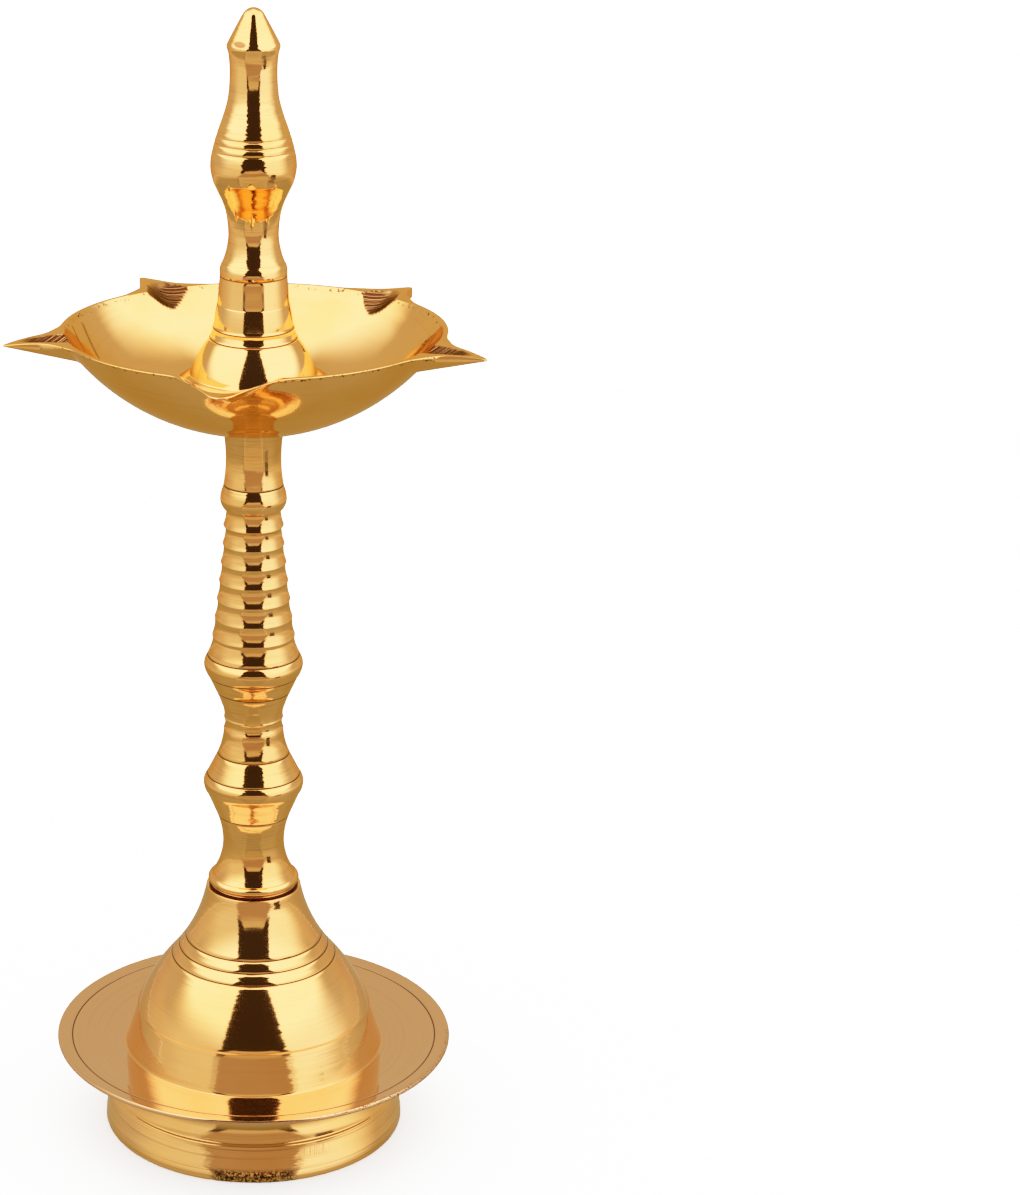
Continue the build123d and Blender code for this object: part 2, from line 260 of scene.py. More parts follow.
def cut_line(points, i, centre, half_width=LINE_HALF_WIDTH):
    """The outline with a fine line cut in at centre, a place between points i and i + 1."""
    low, high = np.array(points[i]), np.array(points[i + 1])
    along = (high - low) / np.linalg.norm(high - low)
    inwards = np.array((-along[1], along[0]))
    cut = [tuple(centre + along * t * half_width + inwards * d * LINE_DEPTH) for t, d in LINE_SHAPE]
    reach = LINE_REACH * half_width
    before = [p for p in points[: i + 1] if np.linalg.norm(np.subtract(p, centre)) > reach]
    after = [p for p in points[i + 1:] if np.linalg.norm(np.subtract(p, centre)) > reach]
    return before + cut + after


def finished_mesh(name, verts, faces):
    """A smooth-shaded mesh object with its faces turned outwards. verts are in millimetres."""
    mesh = bpy.data.meshes.new(name)
    mesh.from_pydata((verts * MM).tolist(), [], faces)
    work = bmesh.new()
    work.from_mesh(mesh)
    bmesh.ops.recalc_face_normals(work, faces=work.faces)
    work.to_mesh(mesh)
    work.free()
    mesh.shade_smooth()
    mesh.set_sharp_from_angle(angle=math.radians(SHARP_DEG))
    made = bpy.data.objects.new(name, mesh)
    bpy.context.scene.collection.objects.link(made)
    return made


def joined_rings(low, high, columns):
    """Quads between two closed rings of columns vertices, whose first vertices are low and high."""
    faces = []
    for column in range(columns):
        after = (column + 1) % columns
        faces.append((low + column, low + after, high + after, high + column))
    return faces


def ring_faces(rows, columns):
    """Quads between rows of vertices, each row a closed ring of columns vertices."""
    faces = []
    for row in range(rows - 1):
        faces += joined_rings(row * columns, (row + 1) * columns, columns)
    return faces


def capped(verts, faces, columns, first_height, last_height):
    """Closes the first and last ring with a fan to a point on the axis."""
    start, end = len(verts), len(verts) + 1
    last_ring = start - columns
    for column in range(columns):
        after = (column + 1) % columns
        faces.append((start, after, column))
        faces.append((end, last_ring + column, last_ring + after))
    return np.vstack([verts, (0, 0, first_height), (0, 0, last_height)]), faces


def turned(points, seat=0.0):
    """Rings of vertices from an outline turned round the axis, and the faces between them."""
    angles = np.linspace(0, 2 * math.pi, SEGMENTS, endpoint=False)
    rings = np.array(points)
    verts = np.empty((len(rings), SEGMENTS, 3))
    verts[:, :, 0] = rings[:, :1] * np.cos(angles)
    verts[:, :, 1] = rings[:, :1] * np.sin(angles)
    verts[:, :, 2] = rings[:, 1:] + seat
    return verts.reshape(-1, 3), ring_faces(len(rings), SEGMENTS)


def lathe(name, points, seat):
    """Closed turned piece. The outline starts and ends on the axis."""
    verts, faces = turned(points[1:-1], seat)
    verts, faces = capped(verts, faces, SEGMENTS, points[0][1] + seat, points[-1][1] + seat)
    return finished_mesh(name, verts, faces)


def placed(piece, node, material, lines=()):
    """The piece stands for its CAD node, on that node's body. lines are its engraved lines, which
    hold dark polish."""
    places = np.array([vertex.co for vertex in piece.data.vertices]) / MM
    r, z = np.hypot(places[:, 0], places[:, 1]), places[:, 2]
    dark = np.zeros(len(places))
    for line_r, line_z in lines:
        away = np.hypot(r - line_r, z - line_z)
        dark = np.maximum(dark, away < LINE_DARK_SHARE * LINE_HALF_WIDTH)
    store(piece, "line", dark)
    piece.data.materials.append(material)
    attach(piece, node)
    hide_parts(node)
    return piece


def store(piece, name, values):
    """Keeps one number for each vertex, for the piece's material to read."""
    attribute = piece.data.attributes.new(name, "FLOAT", "POINT")
    attribute.data.foreach_set("value", np.asarray(values, dtype=np.float32))


def lifted(lines, seat):
    return [(r, z + seat) for r, z in lines]


def between_bores(outside, height):
    """A stem's whole outline: its outside, and the blind bores for the studs at its ends."""
    floor_height = height - BORE_DEPTH
    lower = [(0, BORE_DEPTH), (BORE_RADIUS, BORE_DEPTH), (BORE_RADIUS, 0)]
    upper = [(BORE_RADIUS, height), (BORE_RADIUS, floor_height), (0, floor_height)]
    return lower + outside + upper


def base_outside(height):
    """Foot, drip plate, step and bell, and the places of the engraved lines."""
    shoulder = height - RECESS_HEIGHT
    top = [
        (BELL_TOP_RADIUS, shoulder, BELL_TOP_BULGE),
        (RECESS_FLOOR_RADIUS, shoulder),
        (RECESS_FLOOR_RADIUS, height),
        (BORE_RADIUS, height),
    ]
    points = softened(outline(*FOOT, *COVE, *PLATE, *STEP, *BELL, *top))
    points, lines = engraved(points, BELL_LINES)
    line_radius = PLATE_LINE[0]
    i = next(i for i in range(len(points)) if points[i][0] > line_radius >= points[i + 1][0])
    return cut_line(points, i, np.array(PLATE_LINE)), lines + [PLATE_LINE]


def make_base(material):
    """The base has no cap on the axis: its outside runs down the bore into its hollow."""
    outside, lines = base_outside(seats["base"][1])
    inside = outline((BORE_RADIUS, HOLLOW_TOP), *BELL_HOLLOW, *FOOT_HOLLOW)
    verts, faces = turned(outside + inside[:-1])
    faces += joined_rings(len(verts) - SEGMENTS, 0, SEGMENTS)
    piece = finished_mesh("base_casting", verts, faces)
    return placed(piece, "base", material, lines)


def make_stem(name, steps, top, heights, material):
    """A stem section. top is the radius and the bulge of its last stretch, up to its top."""
    low, high = seats[name]
    radius, bulge = top
    ends = [(radius, high - low, bulge), (BORE_RADIUS, high - low)]
    outside, lines = engraved(softened(outline((BORE_RADIUS, 0.0), *steps, *ends)), heights)
    piece = lathe(name + "_casting", between_bores(outside, high - low), low)
    return placed(piece, name, material, lifted(lines, low))


def make_lower_stem(material):
    steps = LOWER_STEM_RING + LOWER_STEM_WAIST + LOWER_STEM_BEAD
    top = (LOWER_STEM_TOP_RADIUS, LOWER_STEM_TOP_BULGE)
    return make_stem("lower_stem", steps, top, LOWER_STEM_LINES, material)


def stepped_rings():
    """Rings up the upper stem: each hollow flank flares down to a crisp lower edge."""
    steps = []
    for index, crest in enumerate(RING_CRESTS):
        height = FIRST_RING + index * RING_PITCH
        steps.append((crest, height))
        steps.append((crest - RING_HOLLOW, height + RING_PITCH - RING_FLANK_GAP, RING_FLANK_BULGE))
    return steps


def make_upper_stem(material):
    below = UPPER_STEM_FOOT + UPPER_STEM_BEAD + UPPER_STEM_SHOULDER
    steps = below + stepped_rings() + UPPER_STEM_SMALL_BEAD + UPPER_STEM_NECK
    top = (UPPER_STEM_TOP_RADIUS, UPPER_STEM_TOP_BULGE)
    return make_stem("upper_stem", steps, top, UPPER_STEM_LINES, material)


def make_finial(material):
    low, high = seats["finial"]
    steps = FINIAL_FOOT + FINIAL_BULB + FINIAL_TAPER + FINIAL_CAP
    outside = softened(outline((BORE_RADIUS, 0.0), *steps, (0.0, high - low, FINIAL_TIP_BULGE)))
    outside = engraved(outside, FINIAL_LINES, WIDE_LINE_HALF_WIDTH)[0]
    whole = [(0, BORE_DEPTH), (BORE_RADIUS, BORE_DEPTH)] + outside
    return placed(lathe("finial_casting", whole, low), "finial", material)


def smooth_min(a, b, reach):
    """The lower of two heights, blended where they are within reach of each other."""
    share = np.clip(0.5 + 0.5 * (b - a) / reach, 0, 1)
    return b * (1 - share) + a * share - reach * share * (1 - share)


def spout_angles():
    """Directions round the bowl, closest together at each spout's tip: the angles, each one's
    nearest spout, and how far it is from that spout's middle."""
    offsets = np.array(SPOUT_OFFSETS_DEG)
    offsets = np.concatenate([-offsets[:0:-1], offsets])
    angles, nearest = [], []
    for index in range(SPOUTS):
        angles += list(FIRST_SPOUT_DEG + SPOUT_PITCH_DEG * index + offsets)
        nearest += [index] * len(offsets)
    return np.radians(angles), np.array(nearest), np.radians(np.tile(offsets, SPOUTS))


def trough_height(along, across, spout):
    """The wick's channel: deepest at the bowl's wall, and rounded up to its outer end."""
    share = np.clip((along - TROUGH_START) / (TROUGH_ENDS[spout] - TROUGH_START), *TROUGH_SHARES)
    depth = TROUGH_DEPTHS[spout] * (1 - np.sign(share) * np.abs(share) ** TROUGH_POWER)
    rounding = TROUGH_ROUNDS[spout]
    rise = (np.sqrt(across * across + rounding ** 2) - rounding) / TROUGH_SPREADS[spout]
    return RIM_HEIGHT - depth + rise


class Dish:
    """Heights of the oil bowl's surfaces, over rows of rays from the axis."""

    def __init__(self):
        self.angles, self.spout, self.offsets = spout_angles()
        self.tips = SPOUT_TIPS[self.spout]
        self.edge = self.plan_edge()

    def along(self, r):
        """Each place's distance from the axis along the nearest spout."""
        return r * np.cos(self.offsets)

    def across(self, r):
        """Each place's distance from the middle of the nearest spout."""
        return np.abs(r * np.sin(self.offsets))

    def inside_plan(self, r):
        """How far inside the plan's outline each place lies, negative outside."""
        u, v = self.along(r), self.across(r)
        tip_half, slope = SPOUT_TIP_HALVES[self.spout], SPOUT_SIDE_SLOPES[self.spout]
        circle = RIM_RADIUS - r
        flare = (FLARE_HALF + FLARE_SLOPE * (FLARE_START - u) - v) / math.hypot(1, FLARE_SLOPE)
        side = (tip_half + slope * (self.tips - u) - v) / np.hypot(1, slope)
        beak = smooth_min(side, self.tips - u, tip_half + TIP_BLEND)
        joined = -smooth_min(-flare, -beak, FLARE_BLEND)
        return -smooth_min(-circle, -joined, RIM_BLEND)

    def plan_edge(self):
        """Where each ray leaves the plan."""
        low, high = (np.full(len(self.angles), r) for r in PLAN_SEARCH)
        for _ in range(PLAN_HALVINGS):
            middle = (low + high) / 2
            inside = self.inside_plan(middle) > 0
            low, high = np.where(inside, middle, low), np.where(inside, high, middle)
        return low

    def land(self, r):
        """The rim's flat top, and the spouts' tops that droop towards their tips."""
        share = np.clip((self.along(r) - DROOP_START) / (self.tips - DROOP_START), 0, 1)
        return RIM_HEIGHT - SPOUT_TOP_DROPS[self.spout] * share ** 2

    def underside(self, r):
        """The bowl's round outside, and each spout's rounded keel."""
        centre_height, radius = DISH_OUTER
        reach = np.clip(radius ** 2 - (r - DISH_CENTRE_RADIUS) ** 2, 0, None)
        bowl = centre_height - np.sqrt(reach)
        depth = SPOUT_TIP_DEPTHS[self.spout] + KEEL_SLOPE * (self.tips - self.along(r))
        rise = (np.sqrt(self.across(r) ** 2 + KEEL_ROUND ** 2) - KEEL_ROUND) / KEEL_SPREAD
        met = smooth_min(bowl, RIM_HEIGHT - depth + rise, KEEL_BLEND)
        return smooth_min(met, self.land(r) - RIM_EDGE, EDGE_BLEND)

    def troughed(self, r, z):
        """Heights z of the bowl's inside, cut down by the troughs."""
        floor_height = trough_height(self.along(r), self.across(r), self.spout)
        return np.where(r > TROUGH_REACH, smooth_min(z, floor_height, TROUGH_BLEND), z)

    def ring(self, r, z):
        """A level row at one radius."""
        return np.full(len(self.angles), r), np.full(len(self.angles), z)

    def inside_rows(self):
        """From the cone's foot up the wall to the rim, and out over the rim and the spouts."""
        centre_height, radius = DISH_INNER
        rows = []
        for r in INSIDE_RADII:
            ring, z = self.ring(r, centre_height - math.sqrt(radius ** 2 - (r - DISH_CENTRE_RADIUS) ** 2))
            rows.append((ring, self.troughed(ring, z)))
        for share in LAND_SHARES:
            r = INNER_RIM + (self.edge - INNER_RIM - RIM_SOFT) * share
            rows.append((r, self.troughed(r, self.land(r))))
        return rows

    def edge_rows(self):
        """Round the edge of the rim and the spouts, from the top to the underside."""
        rows = []
        for turn in np.radians(EDGE_TURNS_ABOVE):
            r = self.edge - RIM_SOFT * (1 - math.sin(turn))
            rows.append((r, self.troughed(r, self.land(r)) - RIM_SOFT * (1 - math.cos(turn))))
        bottom = self.underside(self.edge)
        for turn in np.radians(EDGE_TURNS_BELOW):
            r = self.edge - RIM_SOFT * (1 - math.cos(turn))
            rows.append((r, bottom + RIM_SOFT * (1 - math.sin(turn))))
        return rows

    def underside_rows(self):
        """From the edge back to the bowl's seat on the stem."""
        radii = [KEEL_START + (self.edge - RIM_SOFT - KEEL_START) * share for share in KEEL_SHARES]
        radii += [np.full(len(self.angles), r) for r in UNDERSIDE_RADII]
        return [(r, self.underside(r)) for r in radii]

    def vertices(self, rows):
        """Places of the rows' points, with the bowl's wall leaning by RIM_TILT."""
        verts = np.empty((len(rows), len(self.angles), 3))
        for index, (r, z) in enumerate(rows):
            x, y = r * np.cos(self.angles), r * np.sin(self.angles)
            share = np.clip((r - TILT_START) / TILT_RUN, 0, 1)
            share = share * share * (3 - 2 * share)
            verts[index, :, 0] = x
            verts[index, :, 1] = y
            verts[index, :, 2] = z + (RIM_TILT[0] * x + RIM_TILT[1] * y) * share
        return verts.reshape(-1, 3)


def make_oil_bowl(material):
    low, high = seats["oil_bowl"]
    dish = Dish()
    top = [(BORE_RADIUS, high - BORE_DEPTH), (BORE_RADIUS, high), (CONE_TOP_RADIUS, high)]
    cone, lines = engraved(softened(outline(*top, *CONE_NECK, *CONE_SKIRT)), CONE_LINES)
    rows = [dish.ring(r, z) for r, z in cone]
    rows += dish.inside_rows() + dish.edge_rows() + dish.underside_rows()
    rows += [dish.ring(BORE_RADIUS, low), dish.ring(BORE_RADIUS, low + BORE_DEPTH)]
    columns = len(dish.angles)
    verts, faces = dish.vertices(rows), ring_faces(len(rows), columns)
    verts, faces = capped(verts, faces, columns, high - BORE_DEPTH, low + BORE_DEPTH)
    piece = finished_mesh("oil_bowl_casting", verts, faces)
    shade_bowl(piece)
    return placed(piece, "oil_bowl", material, lines)


# Places on the bowl that its material darkens, in millimetres.
FLOOR_TOLERANCE = 0.35
FLOOR_LEAST_DEPTH = 0.1
FILED_FADE = 4
FILED_PAST_END = 1
EDGE_START = 47.5
EDGE_MIDDLE_DROP = 0.6
EDGE_HALF = 0.55
EDGE_SPOUT_HALF = 6
STROKE_PITCH = 0.8


def shade_bowl(piece):
    """Point attributes that the bowl's material reads: where a file cut the troughs, which way its
    strokes run, and the edge all round."""
    x, y, z = (np.array([vertex.co for vertex in piece.data.vertices]) / MM).T
    r, from_front = np.hypot(x, y), np.degrees(np.arctan2(y, x)) - FIRST_SPOUT_DEG
    half_pitch = SPOUT_PITCH_DEG / 2
    turn = np.radians((from_front + half_pitch) % SPOUT_PITCH_DEG - half_pitch)
    spout = np.round(from_front / SPOUT_PITCH_DEG).astype(int) % SPOUTS
    along, across = r * np.cos(turn), r * np.sin(turn)
    level = z - RIM_TILT[0] * x - RIM_TILT[1] * y
    floor_height = trough_height(along, across, spout)
    on_floor = np.abs(level - floor_height) < FLOOR_TOLERANCE
    filed = on_floor & (floor_height < RIM_HEIGHT - FLOOR_LEAST_DEPTH) & (along > TROUGH_START)
    fade = np.clip((TROUGH_ENDS[spout] + FILED_PAST_END - along) / FILED_FADE, 0, 1)
    at_rim = np.abs(level - RIM_HEIGHT + EDGE_MIDDLE_DROP) < EDGE_HALF
    lean = np.where(spout == RIGHT_BACK_SPOUT, 1.0, -1.0)
    store(piece, "filed", filed * FILED_SHARES[spout] * fade)
    store(piece, "edge", (r > EDGE_START) & at_rim & (np.abs(across) > EDGE_SPOUT_HALF))
    store(piece, "cut", along * STROKE_PITCH + across * lean)


class Shader:
    """Short calls for building a material's nodes."""

    def __init__(self, name):
        self.material = bpy.data.materials.new(name)
        self.material.use_nodes = True
        self.tree = self.material.node_tree
        self.tree.nodes.clear()

    def node(self, kind, settings=(), **inputs):
        """A node. An input is named as its socket is, or i0, i1, ... by its place."""
        made = self.tree.nodes.new(kind)
        for key, value in dict(settings).items():
            setattr(made, key, value)
        for key, value in inputs.items():
            by_place = key[0] == "i" and key[1:].isdigit()
            self.feed(made.inputs[int(key[1:]) if by_place else key], value)
        return made

    def feed(self, socket, value):
        """Links or sets an input."""
        if isinstance(value, bpy.types.NodeSocket):
            self.tree.links.new(value, socket)
        else:
            socket.default_value = value

    def math(self, operation, *values):
        inputs = {"i" + str(place): value for place, value in enumerate(values)}
        return self.node("ShaderNodeMath", {"operation": operation}, **inputs).outputs[0]

    def times(self, *values):
        return functools.reduce(functools.partial(self.math, "MULTIPLY"), values)

    def most(self, *values):
        return functools.reduce(functools.partial(self.math, "MAXIMUM"), values)

    def plus(self, a, b):
        return self.math("ADD", a, b)

    def minus(self, a, b):
        return self.math("SUBTRACT", a, b)

    def inverse(self, value):
        return self.minus(1.0, value)

    def ramp(self, value, low, high):
        """0 at low, 1 at high, smooth between."""
        made = self.node("ShaderNodeMapRange", {"interpolation_type": "SMOOTHSTEP"}, Value=value)
        made.inputs["From Min"].default_value = low
        made.inputs["From Max"].default_value = high
        return made.outputs[0]

    def between(self, value, low, high, soft):
        """1 where value is between low and high, with soft edges."""
        rise = self.ramp(value, low - soft, low + soft)
        return self.times(rise, self.inverse(self.ramp(value, high - soft, high + soft)))

    def combine(self, **inputs):
        return self.node("ShaderNodeCombineXYZ", **inputs).outputs[0]

    def separate(self, vector):
        return self.node("ShaderNodeSeparateXYZ", Vector=vector).outputs

    def length(self, x, y):
        flat = self.combine(X=x, Y=y)
        return self.node("ShaderNodeVectorMath", {"operation": "LENGTH"}, i0=flat).outputs["Value"]

    def noise(self, vector, **inputs):
        return self.node("ShaderNodeTexNoise", Vector=vector, **inputs).outputs["Fac"]

    def attribute(self, name):
        return self.node("ShaderNodeAttribute", {"attribute_name": name}).outputs["Fac"]

    def blend(self, share, first, second):
        """Colour between first and second."""
        mix = self.node("ShaderNodeMix", {"data_type": "RGBA"}, Factor=share)
        for place, value in ((6, first), (7, second)):
            self.feed(mix.inputs[place], (*value, 1) if isinstance(value, tuple) else value)
        return mix.outputs[2]

    def finish(self, surface):
        self.node("ShaderNodeOutputMaterial", Surface=surface)
        return self.material


# Colours of the brass.
BRASS = (0.93, 0.56, 0.24)
DEEP_BRASS = (0.88, 0.49, 0.17)
DULL_BRASS = (0.6, 0.3, 0.1)
WORN_BRASS = (0.78, 0.52, 0.34)
STUD_BRASS = (0.8, 0.5, 0.22)
EDGE_TINT = (1.0, 0.78, 0.5)
PALE_EDGE = (1.0, 0.98, 0.95)
# Dark polish in lines and marks, and also the painted shade in the recess under the stem.
DIRT_AND_SHADE = (0.05, 0.013, 0.006)

# Noises drawn out round the axis: how fine they are round it, and how many rings a metre.
FINE_RINGS = (0.7, 2300)
SWING_RINGS = (2.0, 1500)
NOD_RINGS = (1.3, 900)
PATCHES = (0.8, 60)
TOOL_LINES = (0.5, 2600)
RINGS_PER_RADIUS = 0.8
RING_ROUGHNESS = 0.65
NOD_SHARE = 0.6
LEAST_RADIUS = 1e-5

# How the noises show.
CLOUD_SCALE = 45.0
CLOUD_RAMP = (0.35, 0.75)
PATCH_RAMP = (0.35, 0.7)
FINE_RAMP = (0.5, 0.68)
LEAST_CHATTER = 0.35
FINE_ROUGHNESS = 0.12
LINE_DIRT = 0.95
# Rougher where dark polish or the recess's painted shade lies.
DIRT_AND_SHADE_ROUGHNESS = 0.3
BRUSHED = 0.35
GRAIN_ROUGHNESS = 0.7

# Seams, in metres: painted shade in the recess between the base and the stem, with a fine unshaded line,
# and a dark line at the finial's seam.
RECESS = (0.0688, 0.0705)
RECESS_SOFT = 0.00005
RECESS_RADIUS = 0.0119
UNSHADED_LINE = (0.0697, 0.00016)
FINIAL_SEAM = (0.2372, 0.0002)
FINIAL_SEAM_DIRT = 0.8

# Marks, in metres. A ramp's two values are where it starts and where it is full.
PLATE_TOP = (0.0224, 0.0258, 0.0001)
PLATE_TOP_RADIUS = (0.0346, 0.035)
SKIN_TOP = (0.0028, 0.0045)
SKIN_HALF = (0.0095, 0.0125)
SKIN_PITS = (1900, 0.42, 0.52)
TOOL_LINE_RAMP = (0.52, 0.66)
TOOL_LINE_DIRT = 0.4
TOOL_LINE_TOP = (0.0095, 0.0105)
SCRATCHED_ACROSS = (0.0125, 0.0195, 0.0015)
SCRATCHED_UP = (0.0062, 0.0094, 0.0006)
SCRATCHES_ACROSS = 3200.0
SCRATCHES_UP = 150.0
SCRATCH_RAMP = (0.42, 0.56)
SCRATCH_DIRT = 0.35
PLATE_RIM = (0.0518, 0.0526)
PLATE_RIM_RIGHT = (0.0, 0.03)
PLATE_RIM_PITS = (2400, 0.55, 0.62)
DENT_SLANT = 0.3
OUTER_DENTS = ((0.0387, 0.0393, 0.0001), (0.0095, 0.0168, 0.0002))
INNER_DENTS = ((0.0334, 0.0343, 0.0001), (0.0125, 0.0225, 0.0002))
FILE_TEETH = 8500.0
FILE_TEETH_RAMP = (-0.6, 0.2)
UPWARD_LEAST = 0.05
STROKE_SCALE = 2.6
STROKE_ROUGHNESS = 0.8
STROKE_RAMP = (0.3, 0.5)
NICK_PITS = (900, 0.56, 0.64)
CAP_PIT = (-0.0034, 0.29665)
CAP_PIT_FLATNESS = 2.0
CAP_PIT_RADIUS = (0.0011, 0.0018)
CAP_PIT_DIRT = 0.7

Turned = collections.namedtuple("Turned", "place x y z r out_x out_y")


def lathe_frame(s):
    """Each place of a piece, its radius, and the direction out from the axis there."""
    place = s.node("ShaderNodeTexCoord").outputs["Object"]
    x, y, z = s.separate(place)
    r = s.most(s.length(x, y), LEAST_RADIUS)
    return Turned(place, x, y, z, r, s.math("DIVIDE", x, r), s.math("DIVIDE", y, r))


def ring_noise(s, at, rings, detail=3.0):
    """Noise drawn out round the axis, as the tool's fine rings are."""
    around, a_metre = rings
    run = s.times(s.minus(at.z, s.times(at.r, RINGS_PER_RADIUS)), a_metre)
    spot = s.combine(X=s.times(at.out_x, around), Y=s.times(at.out_y, around), Z=run)
    return s.noise(spot, Scale=1.0, Detail=detail, Roughness=RING_ROUGHNESS)


def chattered_normal(s, at, amount):
    """Surface direction, rocked round and along the piece a little by each ring that the tool left."""
    swing = s.times(s.minus(ring_noise(s, at, SWING_RINGS), 0.5), amount)
    nod = s.times(s.minus(ring_noise(s, at, NOD_RINGS), 0.5), s.times(amount, NOD_SHARE))
    push = s.combine(X=s.times(at.out_y, -1.0, swing), Y=s.times(at.out_x, swing), Z=nod)
    spaces = {"vector_type": "VECTOR", "convert_from": "OBJECT", "convert_to": "WORLD"}
    turned_push = s.node("ShaderNodeVectorTransform", spaces, Vector=push).outputs[0]
    normal = s.node("ShaderNodeNewGeometry").outputs["Normal"]
    moved = s.node("ShaderNodeVectorMath", {"operation": "ADD"}, i0=normal, i1=turned_push).outputs[0]
    return s.node("ShaderNodeVectorMath", {"operation": "NORMALIZE"}, i0=moved).outputs[0]


def brass_colour(s, at, fine, tint, rings, worn):
    """The brass before dark polish and painted shade: clouded, worn where worn says, and duller along the
    tool's rings.
    """
    cloud = s.noise(at.place, Scale=CLOUD_SCALE, Detail=3.0)
    colour = s.blend(s.ramp(cloud, *CLOUD_RAMP), tint, DEEP_BRASS)
    if worn:
        colour = s.blend(worn(s, at), colour, WORN_BRASS)
    return s.blend(s.times(s.ramp(fine, *FINE_RAMP), rings), colour, DULL_BRASS)


def brass(name, tint=BRASS, edge=EDGE_TINT, rough=0.07, chatter=0.17, rings=0.45, marks=None, worn=None):
    """Polished brass with the fine rings that a lathe tool and the buff leave. edge is its tint
    at a grazing view. marks says where the casting's skin or a file's cuts show dark, and worn
    where wiping has dulled it."""
    s = Shader(name)
    at = lathe_frame(s)
    fine = ring_noise(s, at, FINE_RINGS)
    patch = s.ramp(ring_noise(s, at, PATCHES, detail=1.0), *PATCH_RAMP)
    # Dark polish in the engraved lines, painted shade in the recess under the stem and a dark line at the
    # finial's seam, all in one dark colour.
    dirt_and_shade = s.most(s.times(s.attribute("line"), LINE_DIRT), seams(s, at))
    if marks:
        dirt_and_shade = s.most(dirt_and_shade, marks(s, at))
    roughness = s.plus(rough, s.times(s.minus(fine, 0.5), FINE_ROUGHNESS))
    roughness = s.plus(roughness, s.times(dirt_and_shade, DIRT_AND_SHADE_ROUGHNESS))
    normal = chattered_normal(s, at, s.times(s.plus(patch, LEAST_CHATTER), chatter))
    shader = s.node("ShaderNodeBsdfPrincipled", Metallic=1.0, Roughness=roughness, Normal=normal)
    colour = brass_colour(s, at, fine, tint, rings, worn)
    # Darkened by dark polish and marks, and by painted shade in the base's recess.
    s.feed(shader.inputs["Base Color"], s.blend(dirt_and_shade, colour, DIRT_AND_SHADE))
    tangent = s.node("ShaderNodeTangent", {"direction_type": "RADIAL", "axis": "Z"})
    s.feed(shader.inputs["Tangent"], tangent.outputs[0])
    shader.inputs["Anisotropic"].default_value = BRUSHED
    shader.inputs["Specular Tint"].default_value = (*edge, 1)
    return s.finish(shader.outputs[0])


def seams(s, at):
    """Painted shade in the recess between the base and the stem, but for a fine line left unshaded where
    they meet, and a dark line in the seam under the finial."""
    inside = s.math("LESS_THAN", at.r, RECESS_RADIUS)
    # Painted shade over the recess's faces.
    recess_shade = s.times(s.between(at.z, *RECESS, RECESS_SOFT), inside)
    recess_shade = s.times(recess_shade, s.inverse(s.math("COMPARE", at.z, *UNSHADED_LINE)))
    return s.most(recess_shade, s.times(s.math("COMPARE", at.z, *FINIAL_SEAM), FINIAL_SEAM_DIRT))


def pits(s, at, scale, least, full):
    """Dark specks of the casting's skin."""
    return s.ramp(s.noise(at.place, Scale=scale, Detail=2.0, Roughness=GRAIN_ROUGHNESS), least, full)


def plate_top(s, at):
    """The drip plate's upper face, which is wiped more than the rest."""
    return s.times(s.between(at.z, *PLATE_TOP), s.ramp(at.r, *PLATE_TOP_RADIUS))


def foot_marks(s, at):
    """Where the foot's front edge wasn't machined clean, the lines and a few scratches that the
    tool left above it, and specks along the plate's rim."""
    before = s.math("LESS_THAN", at.y, 0.0)
    low = s.inverse(s.ramp(at.z, *SKIN_TOP))
    front = s.inverse(s.ramp(s.math("ABSOLUTE", at.x), *SKIN_HALF))
    rough_skin = s.times(low, front, before, pits(s, at, *SKIN_PITS))
    lines = s.times(s.ramp(ring_noise(s, at, TOOL_LINES), *TOOL_LINE_RAMP), TOOL_LINE_DIRT)
    lines = s.times(lines, s.inverse(s.ramp(at.z, *TOOL_LINE_TOP)))
    spot = s.combine(X=s.times(at.x, SCRATCHES_ACROSS), Z=s.times(at.z, SCRATCHES_UP))
    scratches = s.ramp(s.noise(spot, Scale=1.0, Detail=2.0), *SCRATCH_RAMP)
    patch = s.times(s.between(at.x, *SCRATCHED_ACROSS), s.between(at.z, *SCRATCHED_UP), before)
    scratches = s.times(patch, scratches, SCRATCH_DIRT)
    rim = s.times(s.ramp(at.r, *PLATE_RIM), before, s.ramp(at.x, *PLATE_RIM_RIGHT))
    specks = s.times(rim, pits(s, at, *PLATE_RIM_PITS))
    return s.most(lines, scratches, rough_skin, specks)


def file_dents(s, at, spout, side):
    """Two rows of dents that the file's end left on the bowl's inner wall, behind a side spout."""
    angle = math.radians(FIRST_SPOUT_DEG + SPOUT_PITCH_DEG * spout)
    cosine, sine = math.cos(angle), math.sin(angle)
    along = s.plus(s.times(at.x, cosine), s.times(at.y, sine))
    across = s.minus(s.times(at.y, cosine * side), s.times(at.x, sine * side))
    slant = s.minus(along, s.times(across, DENT_SLANT))
    rows = []
    for depth, width in (OUTER_DENTS, INNER_DENTS):
        rows.append(s.times(s.between(slant, *depth), s.between(across, *width)))
    teeth = s.ramp(s.math("SINE", s.times(across, FILE_TEETH)), *FILE_TEETH_RAMP)
    normal = s.node("ShaderNodeNewGeometry").outputs["Normal"]
    upward = s.math("GREATER_THAN", s.separate(normal)["Z"], UPWARD_LEAST)
    return s.times(s.most(*rows), teeth, upward)


